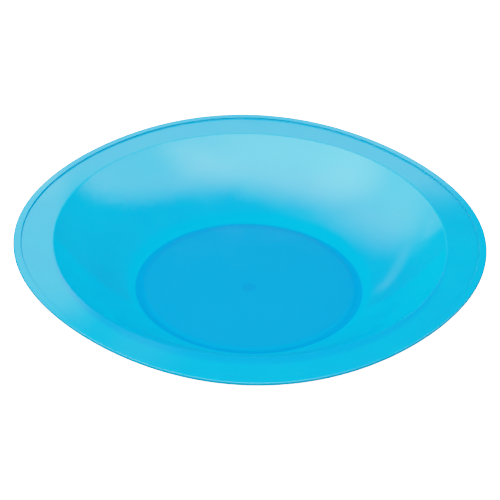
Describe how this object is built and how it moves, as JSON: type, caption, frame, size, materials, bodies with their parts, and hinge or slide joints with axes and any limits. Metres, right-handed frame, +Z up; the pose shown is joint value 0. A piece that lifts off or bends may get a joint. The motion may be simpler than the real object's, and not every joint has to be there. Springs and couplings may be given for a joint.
{
  "type": "deep plate",
  "caption": "Shallow moulded plastic dish: rounded-square rim with a raised edge lip, round bowl with a curved wall, flat floor and a foot ring.",
  "frame": {"origin": "centre of the plate, on the plane that the foot ring stands on", "axes": "+Z up, out of the bowl; +X and +Y towards the middles of two neighbouring sides of the rounded-square rim, with the soft corners on the diagonals"},
  "size_m": [0.2266, 0.2266, 0.0321],
  "materials": {
    "blue_plastic": "glossy translucent sky-blue injection-moulded plastic"
  },
  "bodies": {
    "root": {"dish": "blue_plastic"}
  },
  "joints": []
}
